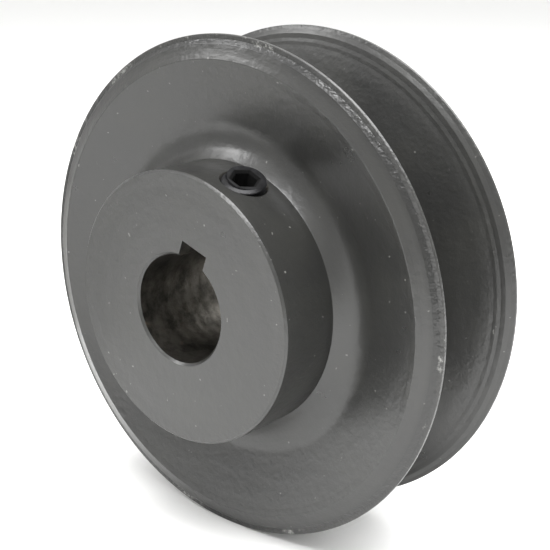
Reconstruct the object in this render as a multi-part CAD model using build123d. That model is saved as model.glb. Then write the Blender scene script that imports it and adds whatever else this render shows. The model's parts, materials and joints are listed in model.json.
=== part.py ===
from build123d import *
import math
import os

# V-belt sheave with one groove and a fixed bore, held on its shaft by one set screw.
#
# Frame: the origin is on the shaft axis, midway between the two rims.  The wheel
# turns about +Y, +Z is up, and the long end of the hub points to -Y (the front).
# Millimetres throughout; angles in degrees.

# ---------------------------------------------------------------- rims and groove
OUTSIDE_DIAMETER = 74.93        # over the rims, 2.95 in
RIM_LAND = 0.90                 # each rim's width at the outside diameter
RIM_BEVEL_WIDTH = 3.415         # outside diameter in to the crest, on the radius
RIM_BEVEL_ANGLE = 23.5          # fall of the rim from its crest to its outside diameter
GROOVE_TOP_WIDTH = 17.0         # at the outside diameter, before the lips are rounded
GROOVE_ANGLE = 34.0             # included angle between the groove walls
GROOVE_DEPTH = 14.5             # outside diameter to groove floor, on the radius
LIP_RADIUS = 0.40               # where rim and groove meet the outside diameter
CREST_RADIUS = 0.50
GROOVE_FLOOR_RADIUS = 1.2       # corners of the groove floor

# ---------------------------------------------------------------- web and hub
HUB_DIAMETER = 39.7             # turned hub, 1 9/16 in
HUB_LENGTH = 30.6               # through the bore, front face to rear face
ROOT_SETBACK = 1.15             # rim crests in to where the turned hub meets the web
WEB_FLARE_ANGLE = 38.0          # fall of the web where it leaves the hub
WEB_VALLEY_RADIUS = 5.0         # sweep between the flare and the back of the groove wall,
#                                 as large as this where the flare has room for it
HUB_CHAMFER = 0.30
ROOT_RADIUS = 0.15              # broken edge between turned hub and web

# ---------------------------------------------------------------- bore and keyway
BORE_DIAMETER = 15.875          # 5/8 in
BORE_CHAMFER = 0.35
KEYWAY_WIDTH = 4.7625           # 3/16 in
KEYWAY_ACROSS_BORE = 18.0       # far side of the bore to the keyway roof
KEYWAY_ANGLE = 20.0             # from +Z towards +X

# ---------------------------------------------------------------- set screw, 1/4-20
SCREW_DIAMETER = 6.30           # over the thread crests
SCREW_PITCH = 25.4 / 20
SCREW_LENGTH = 7.9375           # 5/16 in
SCREW_HEX = 3.175               # across flats, 1/8 in key
SCREW_HEX_DEPTH = 3.2
SCREW_TOP_FLAT = 5.9            # flat end inside the top chamfer
SCREW_TIP_FLAT = 4.2            # flat ring round the cup
SCREW_CUP_DIAMETER = 3.2        # rim of the cup point
SCREW_CUP_FLOOR = 0.8           # small flat at the bottom of the cup
SCREW_CUP_DEPTH = 0.8
THREAD_FLANK_ANGLE = 30.0
THREAD_SINK = 0.05              # overlap that joins the thread to its root cylinder
SCREW_PROUD = 0.6               # middle of the screw's top above the turned hub
SCREW_OFF_KEYWAY = 2.0          # the screw's axis past the keyway's centre line
SCREW_LEAN = 10.0               # towards the front, so that the drill clears the rim
SCREW_PLACE = 0.41              # hole's mouth from the hub's root, in turned lengths
HOLE_CLEARANCE = 0.10           # tapped hole over the screw, on the diameter
HOLE_CHAMFER = 0.20             # broken edge at the low sides of the mouth

# ---------------------------------------------------------------- worked-out places
RIM_R = OUTSIDE_DIAMETER / 2
CREST_R = RIM_R - RIM_BEVEL_WIDTH
HUB_R = HUB_DIAMETER / 2
BORE_R = BORE_DIAMETER / 2
FLOOR_R = RIM_R - GROOVE_DEPTH
WALL_SLOPE = math.tan(math.radians(GROOVE_ANGLE / 2))
FLARE_SLOPE = math.tan(math.radians(WEB_FLARE_ANGLE))
HALF_GROOVE = GROOVE_TOP_WIDTH / 2
HALF_FLOOR = HALF_GROOVE - GROOVE_DEPTH * WALL_SLOPE
HALF_LAND = HALF_GROOVE + RIM_LAND
HALF_FACE = HALF_LAND + RIM_BEVEL_WIDTH * math.tan(math.radians(RIM_BEVEL_ANGLE))
REAR_FACE_Y = HALF_FACE
FRONT_FACE_Y = REAR_FACE_Y - HUB_LENGTH
ROOT_Y = HALF_FACE - ROOT_SETBACK
KEYWAY_ROOF_R = KEYWAY_ACROSS_BORE - BORE_R
MOUTH_Y = -ROOT_Y + SCREW_PLACE * (FRONT_FACE_Y + ROOT_Y)
SCREW_ANGLE = KEYWAY_ANGLE + SCREW_OFF_KEYWAY
LEAN = math.radians(SCREW_LEAN)
SCREW_TIP = HUB_R / math.cos(LEAN) + SCREW_PROUD - SCREW_LENGTH
SCREW_R = SCREW_DIAMETER / 2
THREAD_ROOT_R = SCREW_R - 0.6134 * SCREW_PITCH
HOLE_R = SCREW_R + HOLE_CLEARANCE / 2


def web_valley():
    """Where the flare off the hub would meet the back of the groove wall, in front.

    The flare falls from (HUB_R, ROOT_Y) and the back of the wall, parallel to the
    groove wall, rises to (CREST_R, HALF_FACE).  Both webs are alike."""
    fall = ROOT_Y + FLARE_SLOPE * HUB_R
    rise = HALF_FACE - WALL_SLOPE * CREST_R
    radius = (fall - rise) / (FLARE_SLOPE + WALL_SLOPE)
    return radius, rise + WALL_SLOPE * radius


def valley_radius(valley):
    """The sweep's radius, kept to what the flare and the wall can hold."""
    half_turn = math.radians((WEB_FLARE_ANGLE + GROOVE_ANGLE / 2) / 2)
    flare = math.dist(valley, (HUB_R, ROOT_Y))
    wall = math.dist(valley, (CREST_R, HALF_FACE))
    return min(WEB_VALLEY_RADIUS, 0.8 * min(flare, wall) / math.tan(half_turn))


def corner(face, radius, y):
    """The corner of the section that is nearest to (radius, y)."""
    return face.vertices().sort_by_distance((radius, y, 0))[0]


def sheave_section():
    """Half section of the casting: X is the radius, Y is along the shaft."""
    valley_r, valley_y = web_valley()
    outline = [
        (BORE_R, FRONT_FACE_Y),
        (HUB_R, FRONT_FACE_Y),
        (HUB_R, -ROOT_Y),
        (valley_r, -valley_y),
        (CREST_R, -HALF_FACE),
        (RIM_R, -HALF_LAND),
        (RIM_R, -HALF_GROOVE),
        (FLOOR_R, -HALF_FLOOR),
        (FLOOR_R, HALF_FLOOR),
        (RIM_R, HALF_GROOVE),
        (RIM_R, HALF_LAND),
        (CREST_R, HALF_FACE),
        (valley_r, valley_y),
        (HUB_R, ROOT_Y),
        (HUB_R, REAR_FACE_Y),
        (BORE_R, REAR_FACE_Y),
    ]
    face = make_face(Polyline(*outline, close=True))
    sweep_radius = valley_radius((valley_r, valley_y))
    lip = min(LIP_RADIUS, 0.45 * RIM_LAND)
    for side in (-1, 1):
        face = fillet(corner(face, valley_r, side * valley_y), sweep_radius)
        face = fillet(corner(face, CREST_R, side * HALF_FACE), CREST_RADIUS)
        face = fillet(corner(face, RIM_R, side * HALF_LAND), lip)
        face = fillet(corner(face, RIM_R, side * HALF_GROOVE), lip)
        face = fillet(corner(face, FLOOR_R, side * HALF_FLOOR), GROOVE_FLOOR_RADIUS)
        face = fillet(corner(face, HUB_R, side * ROOT_Y), ROOT_RADIUS)
    for y in (FRONT_FACE_Y, REAR_FACE_Y):
        face = chamfer(corner(face, HUB_R, y), HUB_CHAMFER)
        face = chamfer(corner(face, BORE_R, y), BORE_CHAMFER)
    return face


def keyway_cut():
    """Straight slot that runs the whole bore, with its flat roof away from the shaft."""
    slot = Box(KEYWAY_WIDTH, HUB_LENGTH + 2, KEYWAY_ROOF_R,
               align=(Align.CENTER, Align.CENTER, Align.MIN))
    middle = (FRONT_FACE_Y + REAR_FACE_Y) / 2
    return Rot(0, KEYWAY_ANGLE, 0) * Pos(0, middle, 0) * slot


def screw_place():
    """Frame on the shaft axis whose +Z runs out along the set screw.

    It leans to the front and passes through the middle of the hole's mouth."""
    start = MOUTH_Y + HUB_R * math.tan(LEAN)
    return Pos(0, start, 0) * Rot(0, SCREW_ANGLE, 0) * Rot(SCREW_LEAN, 0, 0)


def tapped_hole_cut():
    """Leaning hole from the keyway out through the turned hub.

    The broken edge at its mouth is square to the hub's surface."""
    deep = HUB_R + 2
    drill = Cylinder(HOLE_R, deep, align=(Align.CENTER, Align.CENTER, Align.MIN))
    inside = HOLE_R / 3
    flare_start = math.sqrt(HUB_R ** 2 - HOLE_R ** 2) - HOLE_CHAMFER - inside
    flare = HUB_R + 1 - flare_start
    cone = Cone(HOLE_R - inside, HOLE_R - inside + flare, flare,
                align=(Align.CENTER, Align.CENTER, Align.MIN))
    mouth = Pos(0, MOUTH_Y, 0) * Rot(0, SCREW_ANGLE, 0) * Pos(0, 0, flare_start) * cone
    return screw_place() * drill + mouth


def make_sheave():
    body = revolve(sheave_section(), Axis.Y)
    return body - keyway_cut() - tapped_hole_cut()


def thread_ridge():
    """60 degree right-hand ridge, running a pitch past both ends of the screw.

    Its flanks start just inside the root cylinder, so that the two join cleanly."""
    inner_r = THREAD_ROOT_R - THREAD_SINK
    height = SCREW_R - inner_r
    half_crest = SCREW_PITCH / 16
    half_base = half_crest + height * math.tan(math.radians(THREAD_FLANK_ANGLE))
    lead = Helix(pitch=SCREW_PITCH, height=SCREW_LENGTH + 2 * SCREW_PITCH, radius=inner_r)
    path = Pos(0, 0, -SCREW_PITCH) * lead
    section = make_face(Polyline((0, -half_base), (height, -half_crest), (height, half_crest),
                                 (0, half_base), close=True))
    start = Plane(origin=path @ 0, x_dir=(1, 0, 0), z_dir=path % 0)
    return sweep(start * section, path=path, is_frenet=True)


def screw_envelope():
    """What the threaded bar is cut back to: both end chamfers and the cup point."""
    top_chamfer = SCREW_R - SCREW_TOP_FLAT / 2
    tip_chamfer = SCREW_R - SCREW_TIP_FLAT / 2
    clear = THREAD_SINK
    outline = [
        (0, SCREW_CUP_DEPTH),
        (SCREW_CUP_FLOOR / 2, SCREW_CUP_DEPTH),
        (SCREW_CUP_DIAMETER / 2, 0),
        (SCREW_TIP_FLAT / 2, 0),
        (SCREW_R + clear, tip_chamfer + clear),
        (SCREW_R + clear, SCREW_LENGTH - top_chamfer - clear),
        (SCREW_TOP_FLAT / 2, SCREW_LENGTH),
        (0, SCREW_LENGTH),
    ]
    return revolve(make_face(Polyline(*[(r, 0, z) for r, z in outline], close=True)), Axis.Z)


def make_set_screw():
    """Headless socket screw with its thread, cup point towards the shaft."""
    bar = Pos(0, 0, -2 * SCREW_PITCH) * Cylinder(
        THREAD_ROOT_R, SCREW_LENGTH + 4 * SCREW_PITCH,
        align=(Align.CENTER, Align.CENTER, Align.MIN))
    threaded = (bar + thread_ridge()) & screw_envelope()
    hexagon = RegularPolygon(SCREW_HEX / 2, 6, major_radius=False)
    socket = Pos(0, 0, SCREW_LENGTH - SCREW_HEX_DEPTH) * extrude(hexagon, SCREW_HEX_DEPTH + 1)
    return screw_place() * Pos(0, 0, SCREW_TIP) * (threaded - socket)


PIECES = {
    "sheave_casting": make_sheave,
    "set_screw": make_set_screw,
}

os.makedirs("parts", exist_ok=True)
for name, make in PIECES.items():
    solid = make()
    export_step(solid, f"parts/{name}.step")
    print(name, round(solid.volume, 1), solid.is_valid)
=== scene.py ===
"""A single-groove V-belt sheave with its set screw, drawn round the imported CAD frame.

The casting and the screw are surfaces worked out on grids, and every finish is made of
nodes. Lengths are metres; a profile is given as (radius, place along the shaft)."""
import json
import math

import bmesh
import bpy
import numpy as np
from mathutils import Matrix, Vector


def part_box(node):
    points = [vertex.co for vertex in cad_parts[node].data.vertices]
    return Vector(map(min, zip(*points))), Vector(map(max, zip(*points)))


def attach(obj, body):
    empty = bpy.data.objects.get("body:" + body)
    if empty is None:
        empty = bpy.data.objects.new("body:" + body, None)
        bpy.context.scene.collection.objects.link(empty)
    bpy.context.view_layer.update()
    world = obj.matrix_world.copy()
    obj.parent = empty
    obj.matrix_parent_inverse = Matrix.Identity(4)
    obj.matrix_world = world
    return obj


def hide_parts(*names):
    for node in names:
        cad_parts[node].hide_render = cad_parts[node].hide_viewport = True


bl_info = {
    "name": "V-belt sheave",
    "version": (1, 0, 0),
    "blender": (4, 5, 0),
    "location": "View3D > Sidebar > Sheave",
    "description": "Builds a cast V-belt sheave, its set screw and a plain studio round them",
    "category": "Object",
}

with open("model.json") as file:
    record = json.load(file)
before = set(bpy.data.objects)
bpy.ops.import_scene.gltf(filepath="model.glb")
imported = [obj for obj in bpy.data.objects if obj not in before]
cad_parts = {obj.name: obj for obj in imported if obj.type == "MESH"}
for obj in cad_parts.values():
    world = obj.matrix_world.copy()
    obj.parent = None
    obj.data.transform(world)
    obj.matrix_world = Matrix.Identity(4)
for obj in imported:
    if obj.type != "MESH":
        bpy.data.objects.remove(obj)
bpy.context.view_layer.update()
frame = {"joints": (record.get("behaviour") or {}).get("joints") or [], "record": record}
MM = 0.001
CASTING, SCREW = "sheave_casting", "set_screw"
CASTING_LOW, CASTING_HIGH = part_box(CASTING)
RIM_R = min(CASTING_HIGH.x, CASTING_HIGH.z, -CASTING_LOW.x, -CASTING_LOW.z)
FRONT_Y, REAR_Y = CASTING_LOW.y, CASTING_HIGH.y
MOUNTS = {m["name"]: m for m in frame["record"]["mounts"]}
BORE_R = MOUNTS["shaft_bore"]["dims"]["r_mm"] * MM
KEY_PLACE = MOUNTS["keyway"]["pos_m"]
KEY_TURN = math.atan2(KEY_PLACE[0], KEY_PLACE[2])
SCREW_WAY = frame["joints"][0]["axis"]
SCREW_TURN = math.atan2(SCREW_WAY[0], SCREW_WAY[2])
SCREW_LEAN = math.asin(-SCREW_WAY[1])
SHARP = math.radians(32)


# ------------------------------------------------------------------ sizes and colours
def length(name, description, default_mm):
    """A length property in metres whose default is given in millimetres."""
    return bpy.props.FloatProperty(name=name, description=description, default=default_mm * MM,
                                   min=0.0, precision=5, subtype="DISTANCE", unit="LENGTH")


def turn(name, description, degrees):
    """An angle property whose default is given in degrees."""
    return bpy.props.FloatProperty(name=name, description=description,
                                   default=math.radians(degrees), subtype="ANGLE",
                                   unit="ROTATION")


def linear(code):
    """Linear red, green, blue and alpha of an sRGB hex code, by the sRGB curve."""
    parts = [int(code[i:i + 2], 16) / 255 for i in (0, 2, 4)]
    lit = [p / 12.92 if p <= 0.04045 else ((p + 0.055) / 1.055) ** 2.4 for p in parts]
    return (*lit, 1.0)


def tint(name, description, code):
    """A colour property whose default is an sRGB hex code."""
    return bpy.props.FloatVectorProperty(name=name, description=description, size=4, min=0.0,
                                         max=1.0, default=linear(code), subtype="COLOR")


class SheaveSizes(bpy.types.PropertyGroup):
    """Sizes of the casting that the frame doesn't give."""
    rim_land: length("Rim land", "Width of each rim at the outside diameter", 0.90)
    rim_bevel: length("Rim bevel", "Radial width of the bevel from crest to rim", 3.415)
    bevel_angle: turn("Bevel angle", "Fall of the rim from its crest outwards", 23.5)
    step_head: length("Step head", "Outside radius in to the head of the rim's step", 1.365)
    step_foot: length("Step foot", "Outside radius in to the foot of the rim's step", 0.715)
    foot_place: length("Foot place", "Middle of the groove to the foot of the step", 9.36)
    edge_place: length("Edge place", "Middle of the groove to the rim's outer edge", 9.38)
    head_radius: length("Head radius", "Rounding at the head of the rim's step", 0.30)
    foot_radius: length("Foot radius", "Rounding at the foot of the rim's step", 0.12)
    edge_radius: length("Edge radius", "Rounding of the rim's outer edge", 0.12)
    lip_radius: length("Lip radius", "Rounding of the rim's edge at the groove", 0.075)
    lip_bevel: length("Lip bevel", "Radial width of the bevel at the groove's mouth", 1.15)
    lip_set: length("Lip set", "Groove's half width to the lip bevel's outer edge", 0.40)
    ridge: length("Ridge", "Depth of the turned ridges below the lip bevel", 0.045)
    crest_radius: length("Crest radius", "Rounding of the crest of each rim", 0.50)
    groove_width: length("Groove width", "Width at the outside diameter", 17.0)
    groove_angle: turn("Groove angle", "Between the two walls", 34.0)
    groove_depth: length("Groove depth", "Rim to groove floor", 14.5)
    floor_radius: length("Floor radius", "Rounding of the groove floor's corners", 1.2)
    hub_radius: length("Hub radius", "Radius of the turned hub", 19.85)
    root_setback: length("Root setback", "Crest plane in to the foot of the turned hub", 1.15)
    root_radius: length("Root radius", "Edge between the turned hub and the web", 0.15)
    flare_angle: turn("Flare angle", "Fall of the web where it leaves the hub", 38.0)
    valley_radius: length("Valley radius", "Sweep between flare and wall", 5.0)
    hub_edge: length("Hub edge", "Broken edge round the hub's faces", 0.34)
    bore_edge: length("Bore edge", "Chamfer at the bore's mouths", 0.35)
    keyway_width: length("Keyway width", "Across the slot", 4.7625)
    keyway_roof: length("Keyway roof", "Shaft axis to the slot's roof", 10.0625)
    unevenness: length("Unevenness", "Height of the sand casting's slow waves", 0.025)


class ScrewSizes(bpy.types.PropertyGroup):
    """Sizes of the 1/4-20 socket set screw and of the hole it sits in."""
    radius: length("Radius", "Over the thread crests", 3.15)
    pitch: length("Pitch", "From crest to crest", 25.4 / 20)
    length: length("Length", "Point to top", 7.9375)
    proud: length("Proud", "Middle of the screw's top above the turned hub", 0.6)
    top_flat: length("Top flat", "Radius inside the top chamfer", 2.95)
    tip_flat: length("Tip flat", "Radius of the ring round the cup", 2.1)
    cup_radius: length("Cup radius", "Rim of the cup point", 1.6)
    cup_depth: length("Cup depth", "Depth of the cup point", 0.8)
    hex_flats: length("Socket", "Across the flats of the hexagon", 3.175)
    hex_depth: length("Socket depth", "Depth of the hexagon", 3.2)
    hex_edge: length("Socket edge", "Chamfer at the socket's mouth", 0.32)
    hex_turn: turn("Socket turn", "Turns the hexagon in the screw", 27)
    hole_gap: length("Hole gap", "Between screw and tapped hole, on the radius", 0.05)
    hole_edge: length("Hole edge", "Broken edge at the low sides of the mouth", 0.20)
    mouth_place: length("Mouth place", "Front of the rims' middle to the hole's mouth", 13.827)


class Finishes(bpy.types.PropertyGroup):
    """Colours of the finishes."""
    enamel: tint("Enamel", "Grey machinery enamel", "282827")
    enamel_thin: tint("Thin enamel", "Where the coat is thin or dusty", "2c2c2a")
    # Painted shade: a near-black band for the foot of the rim's step, where shade falls.
    step_shade: tint("Grime", "Oily dust along the foot of the rim's step", "0e0e0d")
    # Partly scuffed bare iron, partly painted glint: this bright colour on the rims' edges and the
    # hub's front edge also stands in for glints of light.
    edge_scuff_and_glint: tint("Worn edge", "Bright iron showing at rubbed edges", "b0b0ac")
    iron: tint("Bare iron", "Bored and broached grey iron", "6e6b65")
    iron_dark: tint("Stained iron", "Oil and graphite stains in the bore", "403e3a")
    rust: tint("Rust", "Flash rust in the bore", "4f3c2b")
    dust: tint("Dust", "Specks caught in the enamel", "8a8a86")
    oxide_lit: tint("Thin oxide", "Where the black oxide is thin", "303032")
    card: tint("Card", "The grey card beside the stage", "c4c4c2")
    oxide: tint("Black oxide", "Blackened alloy steel", "161617")
    # Partly oil, partly painted shade: near-black for the socket's walls, floor and mouth chamfer.
    oil_and_shade: tint("Oily socket", "Old oil and dust deep in the socket", "060606")
    paper: tint("Paper", "Studio floor and sweep", "f4f4f3")


# ------------------------------------------------------------------ surfaces
def rounded(corners):
    """An outline through corners (radius, place, rounding, steps).

    Each corner with a rounding becomes an arc that is tangent to both of its sides: it
    starts and ends rounding x tan(half the turn) from the corner, and its points are the
    centre plus rounding x a unit vector that swings evenly between the two normals."""
    points = np.array([c[:2] for c in corners], float)
    out = [points[:1]]
    for here, before, after, corner in zip(points[1:-1], points[:-2], points[2:], corners[1:-1]):
        radius, steps = corner[2:]
        if radius <= 0:
            out.append(here[None])
            continue
        inward = (before - here) / np.linalg.norm(before - here)
        onward = (after - here) / np.linalg.norm(after - here)
        half = np.arccos(np.clip(inward @ onward, -1, 1)) / 2
        middle = (inward + onward) / np.linalg.norm(inward + onward)
        centre = here + middle * radius / np.sin(half)
        start = here + inward * radius / np.tan(half) - centre
        end = here + onward * radius / np.tan(half) - centre
        swing = np.arccos(np.clip(start @ end / radius ** 2, -1, 1))
        share = np.linspace(0, 1, steps + 1)[:, None]
        out.append(centre + (np.sin((1 - share) * swing) * start
                             + np.sin(share * swing) * end) / np.sin(swing))
    out.append(points[-1:])
    return np.vstack(out)


def divided(outline, step):
    """The outline with even points added wherever two neighbours are further apart than step."""
    spans = np.maximum(1, np.ceil(np.linalg.norm(np.diff(outline, axis=0), axis=1) / step))
    pieces = [np.linspace(a, b, int(n) + 1)[:-1]
              for a, b, n in zip(outline[:-1], outline[1:], spans)]
    return np.vstack(pieces + [outline[-1:]])


def skin(name, rings, ends=None):
    """A mesh from rings of points, shaped (rings, points round, 3).

    Neighbouring rings are joined by quads. With no ends the last ring joins the first;
    otherwise each end is closed by a fan of triangles to its own pole."""
    rows, cols = rings.shape[:2]
    index = np.arange(rows * cols).reshape(rows, cols)
    low = index if ends is None else index[:-1]
    high = np.roll(index, -1, 0) if ends is None else index[1:]
    quads = np.stack([low, np.roll(low, -1, 1), np.roll(high, -1, 1), high], -1).reshape(-1, 4)
    points, loops = rings.reshape(-1, 3), quads.ravel()
    sizes = np.full(len(quads), 4)
    if ends is not None:
        poles = np.array([rows * cols, rows * cols + 1])
        first, last = index[0], index[-1]
        fan_a = np.stack([np.full(cols, poles[0]), np.roll(first, -1), first], -1)
        fan_b = np.stack([np.full(cols, poles[1]), last, np.roll(last, -1)], -1)
        points = np.vstack([points, ends])
        loops = np.concatenate([loops, fan_a.ravel(), fan_b.ravel()])
        sizes = np.concatenate([sizes, np.full(2 * cols, 3)])
    mesh = bpy.data.meshes.new(name)
    mesh.vertices.add(len(points))
    mesh.vertices.foreach_set("co", points.astype(np.float32).ravel())
    mesh.loops.add(len(loops))
    mesh.loops.foreach_set("vertex_index", loops.astype(np.int32))
    mesh.polygons.add(len(sizes))
    mesh.polygons.foreach_set("loop_start", (np.cumsum(sizes) - sizes).astype(np.int32))
    mesh.update(calc_edges=True)
    mesh.validate()
    return mesh


def placed(name, mesh):
    """An object with that mesh, at the origin, in the scene's own collection."""
    made = bpy.data.objects.new(name, mesh)
    bpy.context.scene.collection.objects.link(made)
    return made


def corner_points(mesh):
    """Every vertex of a mesh as an array."""
    points = np.empty(len(mesh.vertices) * 3, np.float32)
    mesh.vertices.foreach_get("co", points)
    return points.reshape(-1, 3).astype(float)


def smooth(mesh, angle=SHARP):
    """Smooth shading that stops at edges sharper than the angle."""
    mesh.polygons.foreach_set("use_smooth", np.ones(len(mesh.polygons), bool))
    mesh.set_sharp_from_angle(angle=angle)


def check_closed(mesh):
    """Stops the script if an edge doesn't join exactly two faces."""
    shape = bmesh.new()
    shape.from_mesh(mesh)
    loose = sum(1 for e in shape.edges if not e.is_manifold)
    volume = shape.calc_volume(signed=True)
    shape.free()
    if loose or volume <= 0:
        raise RuntimeError(f"{mesh.name}: {loose} open edges, volume {volume}")


def cross(angle):
    """Unit vectors across and along a direction that lies angle from +Z towards +X."""
    return (np.array([math.cos(angle), 0.0, -math.sin(angle)]),
            np.array([math.sin(angle), 0.0, math.cos(angle)]))


def keyed_outline(radius, width, roof, wall, top, arc):
    """The bore's outline with its keyway, one row for each radius.

    Going round: up one slot wall, across the roof, down the other wall, and on round the
    circle, with wall, top, wall and arc points. Gives (across, along) for each point."""
    half = width / 2
    foot = np.sqrt(radius ** 2 - half ** 2)[:, None]
    up = np.arange(wall)[None] / wall
    over = np.arange(top)[None] / top
    gone = np.arcsin(half / radius)[:, None]
    swing = gone + (2 * np.pi - 2 * gone) * np.arange(arc)[None] / arc
    same = np.ones_like(foot)
    across = np.hstack([-half * same + 0 * up, same * (-half + width * over),
                        half * same + 0 * up, radius[:, None] * np.sin(swing)])
    along = np.hstack([foot + (roof - foot) * up, same * roof + 0 * over,
                       roof + (foot - roof) * up, radius[:, None] * np.cos(swing)])
    return across, along


# The groove wall's corners inside the lip bevel: distance in from the bevel's foot in mm, share
# of the ridges' depth, rounding in mm, and points on the rounding.
RIDGES = ((0.0, 0.0, 0.5, 4), (0.7, 1.0, 0.4, 3), (1.2, 0.0, 0.3, 3), (1.7, 0.6, 0.4, 3),
          (2.3, 0.0, 0.5, 3))


def web_profile(s):
    """The casting's outline outside its faces, from the rear face round to the front face."""
    half_groove = s.groove_width / 2
    half_land = half_groove + s.rim_land
    bevel = math.tan(s.bevel_angle)
    half_face = half_land + s.rim_bevel * bevel
    wall = math.tan(s.groove_angle / 2)
    flare = math.tan(s.flare_angle)
    crest = RIM_R - s.rim_bevel
    root = half_face - s.root_setback
    floor = RIM_R - s.groove_depth
    rise = half_face - wall * crest
    valley = (root + flare * s.hub_radius - rise) / (flare + wall)
    half_floor = half_groove - s.groove_depth * wall
    head = half_land + s.step_head * bevel
    side = [
        (s.hub_radius, root, s.root_radius, 4),
        (valley, rise + wall * valley, s.valley_radius, 14),
        (crest, half_face, s.crest_radius, 5),
        (RIM_R - s.step_head, head, s.head_radius, 4),
        (RIM_R - s.step_foot, s.foot_place, s.foot_radius, 3),
        (RIM_R, s.edge_place, s.edge_radius, 5),
        (RIM_R, half_groove + s.lip_set, s.lip_radius, 4),
    ]
    for inward, share, radius, steps in RIDGES:
        depth = s.lip_bevel + inward * MM
        side.append((RIM_R - depth, half_groove + share * s.ridge - depth * wall,
                     radius * MM, steps))
    side += [
        (floor, half_floor, s.floor_radius, 6),
    ]
    back = [(r, -y, radius, steps) for r, y, radius, steps in side[::-1]]
    edge = s.hub_radius - s.hub_edge
    turned = 0.12 * MM
    return ([(edge, REAR_Y, 0, 0), (s.hub_radius, REAR_Y - s.hub_edge, turned, 2)] + side + back
            + [(s.hub_radius, FRONT_Y + s.hub_edge, turned, 2), (edge, FRONT_Y, 0, 0)])


def slow_waves(around, along, seed):
    """Low irregular waves between -1 and 1: a sum of sines of the angle round the wheel and
    of the distance along the profile, each with a whole number of waves round the wheel."""
    pick = np.random.default_rng(seed)
    total = np.zeros(np.broadcast(around, along).shape)
    for waves in range(2, 26):
        waves_per_metre = pick.uniform(-420, 420)
        start = pick.uniform(0, 2 * np.pi)
        phase = waves * around + 2 * np.pi * waves_per_metre * along + start
        total += np.sin(phase) / math.sqrt(waves)
    return total / np.abs(total).max()


def casting_rings(s):
    """The casting as one closed surface of two parameters.

    One parameter goes round the wheel, following the keyway where there is one. The other
    goes along the bore, out over the rear face, round the web and groove, and back over the
    front face. Each ring is a mix of the keyed outline and a plain circle: all outline in
    the bore, all circle outside, and a straight blend across the two faces."""
    wall, top, arc = 10, 20, 344
    step = 0.9 * MM
    outer = divided(rounded(web_profile(s)), step)
    inner = divided(np.array([(BORE_R + s.bore_edge, FRONT_Y), (BORE_R, FRONT_Y + s.bore_edge),
                              (BORE_R, REAR_Y - s.bore_edge), (BORE_R + s.bore_edge, REAR_Y)]),
                    2 * step)
    face = np.linspace(0, 1, 7)[1:-1]
    rows = [np.column_stack([inner, 0 * inner[:, :1]]),
            np.column_stack([np.full((5, 1), inner[-1, 0]), np.full((5, 1), REAR_Y), face]),
            np.column_stack([outer[:, :1] * 0 + inner[-1, 0], outer[:, 1:], outer[:, :1] * 0 + 1]),
            np.column_stack([np.full((5, 1), inner[0, 0]), np.full((5, 1), FRONT_Y), face[::-1]])]
    circle = np.concatenate([0 * inner[:, 0], np.full(5, outer[0, 0]), outer[:, 0],
                             np.full(5, outer[-1, 0])])
    rows = np.vstack(rows)
    across, along = keyed_outline(rows[:, 0], s.keyway_width, s.keyway_roof, wall, top, arc)
    gone = math.asin(s.keyway_width / 2 / BORE_R)
    slot = 2 * wall + top
    swing = np.concatenate([-gone + 2 * gone * np.arange(slot) / slot,
                            gone + (2 * np.pi - 2 * gone) * np.arange(arc) / arc])[None]
    share = rows[:, 2:3]
    place = rows[:, 1:2] + 0 * swing
    radius = circle[:, None]
    run = np.concatenate([[0], np.cumsum(np.hypot(*np.diff(np.column_stack(
        [circle, rows[:, 1]]), axis=0).T))])[:, None]
    crest = RIM_R - s.rim_bevel
    cast = (np.clip((radius - s.hub_radius - 0.5 * MM) / (2 * MM), 0, 1)
            * np.clip((crest - 0.3 * MM - radius) / (2 * MM), 0, 1)
            * (np.abs(place) > s.groove_width / 2 - s.groove_depth * 0.31))
    outside = np.abs(place) > (s.groove_width / 2
                               - (RIM_R - radius) * math.tan(s.groove_angle / 2) + 1.5 * MM)
    place = place + np.sign(place) * cast * outside * s.unevenness * slow_waves(swing, run, 11)
    x = (1 - share) * across + share * radius * np.sin(swing)
    z = (1 - share) * along + share * radius * np.cos(swing)
    side, up = cross(KEY_TURN)
    return x[..., None] * side + z[..., None] * up + place[..., None] * np.array([0, 1.0, 0])


def thread_depth(place, swing, pitch):
    """Depth below the crests of a right-hand 60 degree thread.

    The distance from the nearest crest, in pitches, is folded out of place / pitch less the
    turns swung; past the crest's flat, half of pitch / 8, the depth grows along the flank
    until it reaches the root's flat."""
    crest_flat = 1 / 16
    full = 0.6134 * pitch
    off = np.abs((place / pitch - swing / (2 * np.pi) + 0.5) % 1 - 0.5) * pitch
    return np.clip((off - crest_flat * pitch) / math.tan(math.radians(30)), 0, full)


def hexagon(radius_of_flats, swing):
    """Radius of a hexagon at each angle: half its width over the cosine to the nearest flat."""
    sixth = np.pi / 3
    return radius_of_flats / np.cos((swing + sixth / 2) % sixth - sixth / 2)


def screw_frame(s, c):
    """The middle of the hole's mouth, and the directions across, along and out of the hole."""
    side, up = cross(SCREW_TURN)
    out = np.array(SCREW_WAY)
    mouth = s.hub_radius * up - np.array([0, c.mouth_place, 0])
    return mouth, side, np.cross(out, side), out


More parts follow.
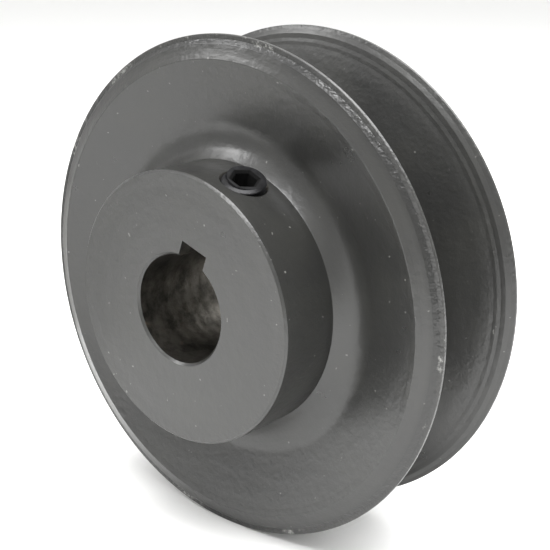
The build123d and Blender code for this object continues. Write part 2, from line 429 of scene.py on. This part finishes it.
def screw_rings(s, c):
    """The screw as a surface of revolution whose radius also turns with the angle.

    Outside, the radius is the smaller of the thread's and the end chamfers'. The top runs in
    from the chamfer to the hexagon, down it, and in to the drill point's pole; the bottom
    runs in over the cup point to its own pole."""
    cols = 120
    swing = np.arange(cols)[None] * 2 * np.pi / cols
    even = np.ones_like(swing)
    facing = swing - c.hex_turn
    tip_chamfer = c.radius - c.tip_flat
    top_chamfer = c.radius - c.top_flat
    place = np.linspace(0, c.length, 1 + int(c.length / (0.05 * MM)))[:, None]
    ends = np.minimum(c.tip_flat + np.minimum(place, tip_chamfer),
                      c.top_flat + np.minimum(c.length - place, top_chamfer))
    barrel = np.minimum(c.radius - thread_depth(place, swing, c.pitch), ends)
    flats = c.hex_flats / 2
    floor = c.length - c.hex_depth
    top = [
        (c.length, even * c.top_flat * 0.9),
        (c.length, hexagon(flats + c.hex_edge, facing)),
        (c.length - c.hex_edge, hexagon(flats, facing)),
        (floor, hexagon(flats, facing)),
        (floor - 0.15 * MM, even * flats * 0.96),
    ]
    point = [(c.cup_depth, even * 0.35 * MM), (0.03 * MM, even * (c.cup_radius - 0.02 * MM)),
             (0.0, even * (c.cup_radius + 0.03 * MM))]
    radius = np.vstack([r for _, r in point] + [barrel] + [r for _, r in top])
    place = np.concatenate([[z for z, _ in point], place[:, 0], [z for z, _ in top]])[:, None]
    mouth, side, along, out = screw_frame(s, c)
    tip = mouth + (c.proud - c.length) * out
    rings = (tip + (radius * np.cos(swing))[..., None] * side
             + (radius * np.sin(swing))[..., None] * along + (place * even)[..., None] * out)
    poles = np.array([tip + (c.cup_depth + 0.05 * MM) * out, tip + (floor - 0.9 * MM) * out])
    return rings, poles


def hole_rings(s, c):
    """What the drill and the countersink take out of the hub, as one closed plug.

    Its rings lie square to the hub's radius and their middles follow the leaning axis, so
    each ring is stretched along the shaft by one over the lean's cosine. It opens at 45
    degrees where it leaves the hub."""
    cols, low, high = 96, 5.5 * MM, s.hub_radius + 1.2 * MM
    swing = np.arange(cols)[None] * 2 * np.pi / cols
    bored = c.radius + c.hole_gap
    start = math.sqrt(s.hub_radius ** 2 - bored ** 2) - c.hole_edge
    height = np.array([low, (low + start) / 2, start, s.hub_radius, high])[:, None]
    radius = bored + np.maximum(0, height - start)
    mouth, side, _, _ = screw_frame(s, c)
    _, up = cross(SCREW_TURN)
    shaftwards = np.array([0, 1.0, 0])
    lean = math.tan(SCREW_LEAN)
    middle = mouth + (height - s.hub_radius) * (up - lean * shaftwards)
    rings = (middle[:, None, :] + (radius * np.cos(swing))[..., None] * side
             + (radius * np.sin(swing) / math.cos(SCREW_LEAN))[..., None] * shaftwards)
    return rings, middle[[0, -1]]


# ------------------------------------------------------------------ nodes
def add(tree, kind, inputs=None, **settings):
    """Adds a node, sets its settings, and fills its inputs with values or with links."""
    made = tree.nodes.new(kind)
    for name, value in settings.items():
        setattr(made, name, value)
    for key, value in (inputs or {}).items():
        if isinstance(value, bpy.types.NodeSocket):
            tree.links.new(value, made.inputs[key])
        else:
            made.inputs[key].default_value = value
    return made


def blank(name):
    """A new material with an empty node tree, its Principled shader and its output."""
    material = bpy.data.materials.new(name)
    material.use_nodes = True
    tree = material.node_tree
    tree.nodes.clear()
    shader = add(tree, "ShaderNodeBsdfPrincipled")
    add(tree, "ShaderNodeOutputMaterial", {"Surface": shader.outputs[0]})
    return material, tree, shader


def per_metre(size_mm):
    """A texture's scale, in waves or cells per metre, for one that is size_mm across."""
    return 1 / (size_mm * MM)


def grey_enamel(f):
    """Air-dried grey machinery enamel sprayed over sand-cast and turned iron.

    Gives the eye a soft semi-gloss with a pebbled skin, slow shifts of tone where the coat is
    thick or thin, faint turning rings under it, dust specks, a band of painted shade at the foot
    of the rims' step, and chattered, scuffed edges whose bright colour is partly scuffed iron and
    partly painted glint. The finest grain is drawn coarse enough to show."""
    material, tree, shader = blank("grey_enamel")
    where = add(tree, "ShaderNodeTexCoord").outputs["Object"]
    cloud = add(tree, "ShaderNodeTexNoise", {"Vector": where, "Scale": per_metre(9),
                                             "Detail": 4.0, "Roughness": 0.6}).outputs[0]
    thin = add(tree, "ShaderNodeMapRange", {0: cloud, 1: 0.40, 2: 0.68}).outputs[0]
    coat = add(tree, "ShaderNodeMix", {0: thin, 6: f.enamel, 7: f.enamel_thin},
               data_type="RGBA").outputs[2]
    speck = add(tree, "ShaderNodeTexNoise", {"Vector": where, "Scale": per_metre(0.75),
                                             "Detail": 1.0, "Roughness": 0.4}).outputs[0]
    specks = add(tree, "ShaderNodeMapRange", {0: speck, 1: 0.765, 2: 0.81, 4: 0.45}).outputs[0]
    dusty = add(tree, "ShaderNodeMix", {0: specks, 6: coat, 7: f.dust},
                data_type="RGBA").outputs[2]
    # Partly scuffing, partly painted glint: the edge mask brings in a bright colour in patches
    # along the rims and the hub's front edge.
    rub_and_glint = add(tree, "ShaderNodeAttribute", attribute_name="rubbed_and_glint").outputs["Fac"]
    grit = add(tree, "ShaderNodeTexNoise", {"Vector": where, "Scale": per_metre(0.7),
                                            "Detail": 6.0, "Roughness": 0.8}).outputs[0]
    patch = add(tree, "ShaderNodeTexNoise", {"Vector": where, "Scale": per_metre(7),
                                             "Detail": 2.0}).outputs[0]
    patches = add(tree, "ShaderNodeMapRange", {0: patch, 1: 0.42, 2: 0.60}).outputs[0]
    patchy_rub_and_glint = add(tree, "ShaderNodeMath", {0: patches, 1: rub_and_glint}, operation="MULTIPLY").outputs[0]
    grit_cut = add(tree, "ShaderNodeMath", {0: grit, 1: patchy_rub_and_glint}, operation="MULTIPLY").outputs[0]
    scuff_and_glint_share = add(tree, "ShaderNodeMapRange", {0: grit_cut, 1: 0.46, 2: 0.60, 4: 0.55}).outputs[0]
    # Painted shade: the enamel is darkened to near-black in the band at the foot of the rims' step.
    step_shade = add(tree, "ShaderNodeAttribute", attribute_name="step_shade_mask").outputs["Fac"]
    step_shaded = add(tree, "ShaderNodeMix", {0: step_shade, 6: dusty, 7: f.step_shade},
                 data_type="RGBA").outputs[2]
    colour = add(tree, "ShaderNodeMix", {0: scuff_and_glint_share, 6: step_shaded, 7: f.edge_scuff_and_glint},
                 data_type="RGBA").outputs[2]
    rough = add(tree, "ShaderNodeMapRange", {0: cloud, 1: 0.3, 2: 0.7, 3: 0.27, 4: 0.33}).outputs[0]
    pebble = add(tree, "ShaderNodeTexNoise", {"Vector": where, "Scale": per_metre(1.3),
                                              "Detail": 3.0, "Roughness": 0.55}).outputs[0]
    pebble_bump = add(tree, "ShaderNodeBump", {"Height": pebble, "Strength": 1.0,
                                               "Distance": 0.06 * MM})
    grain = add(tree, "ShaderNodeTexNoise", {"Vector": where, "Scale": per_metre(0.38),
                                             "Detail": 2.0, "Roughness": 0.6}).outputs[0]
    skin_bump = add(tree, "ShaderNodeBump", {"Height": grain, "Strength": 0.8,
                                             "Distance": 0.015 * MM,
                                             "Normal": pebble_bump.outputs[0]})
    rings = add(tree, "ShaderNodeTexWave", {"Vector": where, "Scale": per_metre(0.55) / 20,
                                            "Distortion": 0.6, "Detail": 2.0,
                                            "Detail Scale": 2.0},
                wave_type="RINGS", rings_direction="Y").outputs[1]
    turned = add(tree, "ShaderNodeAttribute", attribute_name="turned").outputs["Fac"]
    ring_height = add(tree, "ShaderNodeMath", {0: rings, 1: turned},
                      operation="MULTIPLY").outputs[0]
    ring_bump = add(tree, "ShaderNodeBump", {"Height": ring_height, "Strength": 0.7,
                                             "Distance": 0.018 * MM,
                                             "Normal": skin_bump.outputs[0]})
    chatter = add(tree, "ShaderNodeTexNoise", {"Vector": where, "Scale": per_metre(1.1),
                                               "Detail": 2.0, "Roughness": 0.7}).outputs[0]
    pitted = add(tree, "ShaderNodeMath", {0: chatter, 1: rub_and_glint}, operation="MULTIPLY").outputs[0]
    pit_bump = add(tree, "ShaderNodeBump", {"Height": pitted, "Strength": 1.0,
                                            "Distance": 0.24 * MM,
                                            "Normal": ring_bump.outputs[0]})
    for socket, value in (("Base Color", colour), ("Roughness", rough),
                          ("Normal", pit_bump.outputs[0])):
        tree.links.new(value, shader.inputs[socket])
    shader.inputs["IOR"].default_value = 1.6
    return material


def bored_iron(f):
    """Grey iron straight from the boring bar, with oil stains and flash rust.

    Gives the eye a bright broken sheen with fine feed marks round the bore, dark graphite
    blotches, and brown spots."""
    material, tree, shader = blank("bored_iron")
    where = add(tree, "ShaderNodeTexCoord").outputs["Object"]
    blotch = add(tree, "ShaderNodeTexNoise", {"Vector": where, "Scale": per_metre(3.5),
                                              "Detail": 6.0, "Roughness": 0.65}).outputs[0]
    stained = add(tree, "ShaderNodeMapRange", {0: blotch, 1: 0.42, 2: 0.62}).outputs[0]
    metal = add(tree, "ShaderNodeMix", {0: stained, 6: f.iron, 7: f.iron_dark},
                data_type="RGBA").outputs[2]
    spots = add(tree, "ShaderNodeTexNoise", {"Vector": where, "Scale": per_metre(5.5),
                                             "Detail": 4.0, "Roughness": 0.6,
                                             "Distortion": 0.8}).outputs[0]
    rusty = add(tree, "ShaderNodeMapRange", {0: spots, 1: 0.63, 2: 0.74}).outputs[0]
    colour = add(tree, "ShaderNodeMix", {0: rusty, 6: metal, 7: f.rust},
                 data_type="RGBA").outputs[2]
    rough = add(tree, "ShaderNodeMapRange", {0: rusty, 3: 0.36, 4: 0.75}).outputs[0]
    feed = add(tree, "ShaderNodeTexWave", {"Vector": where, "Scale": per_metre(0.30) / 20,
                                           "Distortion": 1.5, "Detail": 3.0,
                                           "Detail Scale": 3.0},
               wave_type="BANDS", bands_direction="Y").outputs[1]
    feed_bump = add(tree, "ShaderNodeBump", {"Height": feed, "Strength": 0.6,
                                             "Distance": 0.02 * MM})
    pits = add(tree, "ShaderNodeBump", {"Height": blotch, "Strength": 0.8,
                                        "Distance": 0.09 * MM,
                                        "Normal": feed_bump.outputs[0]})
    metallic = add(tree, "ShaderNodeMapRange", {0: rusty, 3: 0.95, 4: 0.1}).outputs[0]
    for socket, value in (("Base Color", colour), ("Roughness", rough), ("Metallic", metallic),
                          ("Normal", pits.outputs[0])):
        tree.links.new(value, shader.inputs[socket])
    return material


def black_oxide(f):
    """Alloy steel blackened in a hot salt bath and oiled.

    Gives the eye a near-black that catches small grey lights on its edges and thread."""
    material, tree, shader = blank("black_oxide")
    where = add(tree, "ShaderNodeTexCoord").outputs["Object"]
    film = add(tree, "ShaderNodeTexNoise", {"Vector": where, "Scale": per_metre(0.9),
                                            "Detail": 4.0, "Roughness": 0.6}).outputs[0]
    lift = add(tree, "ShaderNodeMapRange", {0: film, 1: 0.35, 2: 0.75}).outputs[0]
    steel = add(tree, "ShaderNodeMix", {0: lift, 6: f.oxide, 7: f.oxide_lit},
                data_type="RGBA").outputs[2]
    # Painted shade, partly oil: the socket's walls, floor and mouth chamfer are coloured
    # near-black.
    deep = add(tree, "ShaderNodeAttribute", attribute_name="socket").outputs["Fac"]
    colour = add(tree, "ShaderNodeMix", {0: deep, 6: steel, 7: f.oil_and_shade},
                 data_type="RGBA").outputs[2]
    clean = add(tree, "ShaderNodeMapRange", {0: film, 1: 0.3, 2: 0.7, 3: 0.28, 4: 0.42}).outputs[0]
    rough = add(tree, "ShaderNodeMath", {0: clean, 1: deep}, operation="MAXIMUM").outputs[0]
    bump = add(tree, "ShaderNodeBump", {"Height": film, "Strength": 0.4, "Distance": 0.02 * MM})
    for socket, value in (("Base Color", colour), ("Roughness", rough),
                          ("Normal", bump.outputs[0])):
        tree.links.new(value, shader.inputs[socket])
    shader.inputs["Metallic"].default_value = 0.3
    shader.inputs["Specular IOR Level"].default_value = 0.3
    return material


def studio_paper(f):
    """Matt seamless paper, pale and even, under and round the object."""
    material, tree, shader = blank("studio_paper")
    where = add(tree, "ShaderNodeTexCoord").outputs["Object"]
    fibre = add(tree, "ShaderNodeTexNoise", {"Vector": where, "Scale": per_metre(0.6),
                                             "Detail": 2.0}).outputs[0]
    bump = add(tree, "ShaderNodeBump", {"Height": fibre, "Strength": 0.1, "Distance": 0.02 * MM})
    tree.links.new(bump.outputs[0], shader.inputs["Normal"])
    shader.inputs["Base Color"].default_value = f.paper
    shader.inputs["Roughness"].default_value = 0.85
    return material


# ------------------------------------------------------------------ operators
def without(mesh, cutter):
    """The mesh with the cutter's shape taken out of it, as a new mesh."""
    body, tool = placed("body", mesh), placed("tool", cutter)
    cut = body.modifiers.new("hole", "BOOLEAN")
    cut.operation, cut.solver, cut.object = "DIFFERENCE", "EXACT", tool
    graph = bpy.context.evaluated_depsgraph_get()
    result = bpy.data.meshes.new_from_object(body.evaluated_get(graph))
    for helper in (body, tool):
        bpy.data.objects.remove(helper)
    return result


def merged(mesh, gap):
    """Welds points closer than the gap and removes faces that have no area."""
    shape = bmesh.new()
    shape.from_mesh(mesh)
    bmesh.ops.remove_doubles(shape, verts=shape.verts, dist=gap)
    bmesh.ops.dissolve_degenerate(shape, edges=shape.edges, dist=gap)
    shape.to_mesh(mesh)
    shape.free()


def float_layer(mesh, name, values):
    """Stores one number for each vertex under that name."""
    layer = mesh.attributes.new(name, "FLOAT", "POINT")
    layer.data.foreach_set("value", values.astype(np.float32))


class SHEAVE_OT_casting(bpy.types.Operator):
    """Build the one-piece casting, with its bore, keyway and tapped hole"""
    bl_idname = "sheave.casting"
    bl_label = "Build the casting"

    def execute(self, context):
        s, c, f = context.scene.sheave, context.scene.sheave_screw, context.scene.sheave_finish
        rings = casting_rings(s)
        solid = skin("sheave_body", rings)
        plug = skin("tap_plug", *hole_rings(s, c))
        mesh = without(solid, plug)
        merged(mesh, 0.0005 * MM)
        mesh.name = "sheave"
        self.mark_zones(mesh, s, c)
        smooth(mesh)
        check_closed(mesh)
        sheave = placed("sheave", mesh)
        mesh.materials.clear()
        for finish in (grey_enamel(f), bored_iron(f)):
            mesh.materials.append(finish)
        mesh.polygons.foreach_set("material_index", self.bare_faces(mesh, s, c))
        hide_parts(CASTING)
        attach(sheave, "sheave")
        return {"FINISHED"}

    @staticmethod
    def mark_zones(mesh, s, c):
        """turned is 1 where the lathe went; the step's mask rises to 1 in the rims' step, where
        painted shade goes; and the edge mask rises to 1 at the edges, whose bright colour is partly
        scuffed iron and partly painted glint."""
        points = corner_points(mesh)
        radius, place = np.hypot(points[:, 0], points[:, 2]), points[:, 1]
        crest = RIM_R - s.rim_bevel
        groove = np.abs(place) < s.groove_width / 2 - (RIM_R - radius) * math.tan(
            s.groove_angle / 2) + 0.3 * MM
        turned = (radius < s.hub_radius + 0.2 * MM) | groove | (radius > crest)
        # Bands at the rim's outer edge, round the crest and at the hub's front edge; their bright
        # colour is partly scuffed iron and partly painted glint.
        edge = np.exp(-((radius - (RIM_R - 0.55 * MM)) / (0.75 * MM)) ** 4) * ~groove
        ring = 0.45 * np.exp(-((radius - crest) / (0.25 * MM)) ** 2) * ~groove
        hub = 0.7 * np.exp(-(np.hypot(radius - s.hub_radius, place - FRONT_Y) / (0.4 * MM)) ** 2)
        # Painted shade goes in a band round the foot of the rim's step, outside the groove.
        step = RIM_R - (s.step_head + s.step_foot) / 2
        step_shade_mask = np.exp(-((radius - step) / (0.38 * MM)) ** 4) * ~groove
        float_layer(mesh, "step_shade_mask", step_shade_mask)
        float_layer(mesh, "turned", turned.astype(float))
        float_layer(mesh, "rubbed_and_glint", np.maximum.reduce([edge, ring, hub]))

    @staticmethod
    def bare_faces(mesh, s, c):
        """1 for faces of the bore, its chamfers, the keyway and the tapped hole, else 0."""
        count = len(mesh.polygons)
        middle, normal = np.empty(count * 3), np.empty(count * 3)
        mesh.polygons.foreach_get("center", middle)
        mesh.polygons.foreach_get("normal", normal)
        middle, normal = middle.reshape(-1, 3), normal.reshape(-1, 3)
        radius = np.hypot(middle[:, 0], middle[:, 2])
        corner = math.hypot(s.keyway_roof, s.keyway_width / 2) + 0.1 * MM
        inner = (middle[:, 1] > FRONT_Y + s.bore_edge) & (middle[:, 1] < REAR_Y - s.bore_edge)
        bore = (radius < corner) & inner
        mouth, _, _, out = screw_frame(s, c)
        off = middle - mouth
        away = np.linalg.norm(off - (off @ out)[:, None] * out, axis=1)
        level = np.abs(radius - s.hub_radius) > 0.02 * MM
        hole = (away < c.radius + c.hole_gap + 0.9 * MM) & level
        hole &= (middle @ out > 0) & (radius < s.hub_radius)
        return (bore | hole).astype(np.int32)


class SHEAVE_OT_screw(bpy.types.Operator):
    """Build the socket set screw with its thread, hexagon and cup point"""
    bl_idname = "sheave.set_screw"
    bl_label = "Build the set screw"

    def execute(self, context):
        s, c, f = context.scene.sheave, context.scene.sheave_screw, context.scene.sheave_finish
        rings, poles = screw_rings(s, c)
        mesh = skin("socket_screw", rings, poles)
        smooth(mesh, math.radians(40))
        check_closed(mesh)
        self.mark_socket(mesh, c, poles)
        screw = placed("socket_screw", mesh)
        mesh.materials.append(black_oxide(f))
        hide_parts(SCREW)
        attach(screw, "screw")
        return {"FINISHED"}

    @staticmethod
    def mark_socket(mesh, c, poles):
        """socket is 1 for the hexagon's walls, floor and mouth chamfer: painted shade and oil."""
        points = corner_points(mesh)
        out = np.array(SCREW_WAY)
        off = points - poles[1]
        height = off @ out
        away = np.linalg.norm(off - height[:, None] * out, axis=1)
        corners = (c.hex_flats / 2 + c.hex_edge) / math.cos(math.pi / 6)
        inside = (height > -0.1 * MM) & (away < corners + 0.01 * MM)
        float_layer(mesh, "socket", inside.astype(float))


class SHEAVE_OT_stage(bpy.types.Operator):
    """Set the sheave on seamless paper under soft light, with the camera"""
    bl_idname = "sheave.stage"
    bl_label = "Set the stage"

    def execute(self, context):
        f = context.scene.sheave_finish
        self.sweep(f)
        self.shade(f)
        self.lights()
        self.camera()
        return {"FINISHED"}

    @staticmethod
    def sweep(f):
        """A round paper bowl: a flat floor, then a quarter arc, then a wall, turned about +Z
        through the point that the wheel stands on."""
        floor_r, bend, wall = 1.6, 0.5, 1.2
        outline = divided(rounded([(0.02, 0, 0, 0), (floor_r + bend, 0, bend, 16),
                                   (floor_r + bend, wall, 0, 0)]), 0.4)
        swing = np.linspace(0, 2 * np.pi, 97)[:-1]
        rings = np.stack([outline[:, :1] * np.cos(swing), outline[:, :1] * np.sin(swing),
                          outline[:, 1:] - RIM_R + 0 * swing], -1)
        rows, cols = rings.shape[:2]
        index = np.arange(rows * cols).reshape(rows, cols)
        faces = np.stack([index[:-1], np.roll(index[:-1], -1, 1), np.roll(index[1:], -1, 1),
                          index[1:]], -1).reshape(-1, 4).tolist()
        mesh = bpy.data.meshes.new("paper_sweep")
        mesh.from_pydata(rings.reshape(-1, 3).tolist(), [], faces + [index[0, ::-1].tolist()])
        mesh.flip_normals()
        smooth(mesh)
        mesh.materials.append(studio_paper(f))
        placed("paper_sweep", mesh)

    @staticmethod
    def shade(f):
        """A grey card that stands out of the picture at the left, so that the left of the
        wheel mirrors something dim: part of an upright cylinder about the wheel, 0.3 mm thick."""
        swing = np.radians(np.linspace(175, 224, 32))
        levels = np.linspace(-RIM_R, 0.008, 6)[:, None]
        faces_of = [radius * np.stack([np.cos(swing), np.sin(swing)]) for radius in (0.095, 0.0953)]
        rings = np.concatenate([
            np.stack([side[0] + 0 * levels, side[1] + 0 * levels, levels + 0 * swing], -1)
            for side in (faces_of[0][:, ::-1], faces_of[1])], axis=1)
        mesh = skin("shade_card", rings, np.array([rings[0].mean(0), rings[-1].mean(0)]))
        material, _, shader = blank("flocked_card")
        shader.inputs["Base Color"].default_value = f.card
        shader.inputs["Roughness"].default_value = 0.9
        mesh.materials.append(material)
        card = placed("shade_card", mesh)
        card.visible_camera = False

    @staticmethod
    def lights():
        """Soft panels overhead, at the left and behind, and even white air all round."""
        centre = Vector((0, -0.004, 0))
        panels = [
            ("overhead_panel", (0.08, -0.08, 0.40), 0.36, 3.8),
            ("left_panel", (-0.30, -0.24, 0.32), 0.13, 0.55),
            ("rear_panel", (0.08, 0.36, 0.40), 0.34, 1.6),
        ]
        for name, place, size, watts in panels:
            data = bpy.data.lights.new(name, "AREA")
            data.shape, data.size, data.energy = "SQUARE", size, watts
            lamp = bpy.data.objects.new(name, data)
            bpy.context.scene.collection.objects.link(lamp)
            lamp.location = place
            lamp.rotation_euler = (Vector(place) - centre).to_track_quat("Z", "Y").to_euler()
        world = bpy.data.worlds.new("studio_air")
        bpy.context.scene.world = world
        world.use_nodes = True
        background = world.node_tree.nodes["Background"]
        background.inputs["Color"].default_value = (1.0, 1.0, 1.0, 1.0)
        background.inputs["Strength"].default_value = 1.04

    @staticmethod
    def camera():
        """A long lens at the object's right front, a little above it."""
        azimuth, elevation, distance = math.radians(41.16), math.radians(17.19), 0.1800
        target = Vector((0, -0.00315, 0))
        back = Vector((math.sin(azimuth) * math.cos(elevation),
                       -math.cos(azimuth) * math.cos(elevation), math.sin(elevation)))
        right = Vector((math.cos(azimuth), math.sin(azimuth), 0))
        aim = target + right * 0.0030 + right.cross(-back) * 0.0012
        data = bpy.data.cameras.new("camera")
        data.lens, data.sensor_width = 78.1, 36.0
        data.clip_start, data.clip_end = 0.005, 10
        eye = bpy.data.objects.new("camera", data)
        bpy.context.scene.collection.objects.link(eye)
        eye.location = target + back * distance
        eye.rotation_euler = (aim - eye.location).to_track_quat("-Z", "Y").to_euler()
        bpy.context.scene.camera = eye
        bpy.context.scene.view_settings.view_transform = "Standard"


class SHEAVE_PT_panel(bpy.types.Panel):
    """Lists the sizes, the finishes and the build steps in the sidebar"""
    bl_idname = "SHEAVE_PT_panel"
    bl_label = "V-belt sheave"
    bl_space_type = "VIEW_3D"
    bl_region_type = "UI"
    bl_category = "Sheave"

    def draw(self, context):
        for step in STEPS:
            self.layout.operator(step.bl_idname)
        for group in (context.scene.sheave, context.scene.sheave_screw,
                      context.scene.sheave_finish):
            box = self.layout.box()
            for name in group.__annotations__:
                box.prop(group, name)


GROUPS = {"sheave": SheaveSizes, "sheave_screw": ScrewSizes, "sheave_finish": Finishes}
STEPS = (SHEAVE_OT_casting, SHEAVE_OT_screw, SHEAVE_OT_stage)


def register():
    for kind in (*GROUPS.values(), *STEPS, SHEAVE_PT_panel):
        bpy.utils.register_class(kind)
    for name, kind in GROUPS.items():
        setattr(bpy.types.Scene, name, bpy.props.PointerProperty(type=kind))


def unregister():
    for name in GROUPS:
        delattr(bpy.types.Scene, name)
    for kind in (SHEAVE_PT_panel, *STEPS[::-1], *GROUPS.values()):
        bpy.utils.unregister_class(kind)


def main():
    register()
    bpy.ops.sheave.casting()
    bpy.ops.sheave.set_screw()
    bpy.ops.sheave.stage()


if __name__ == "__main__":
    main()
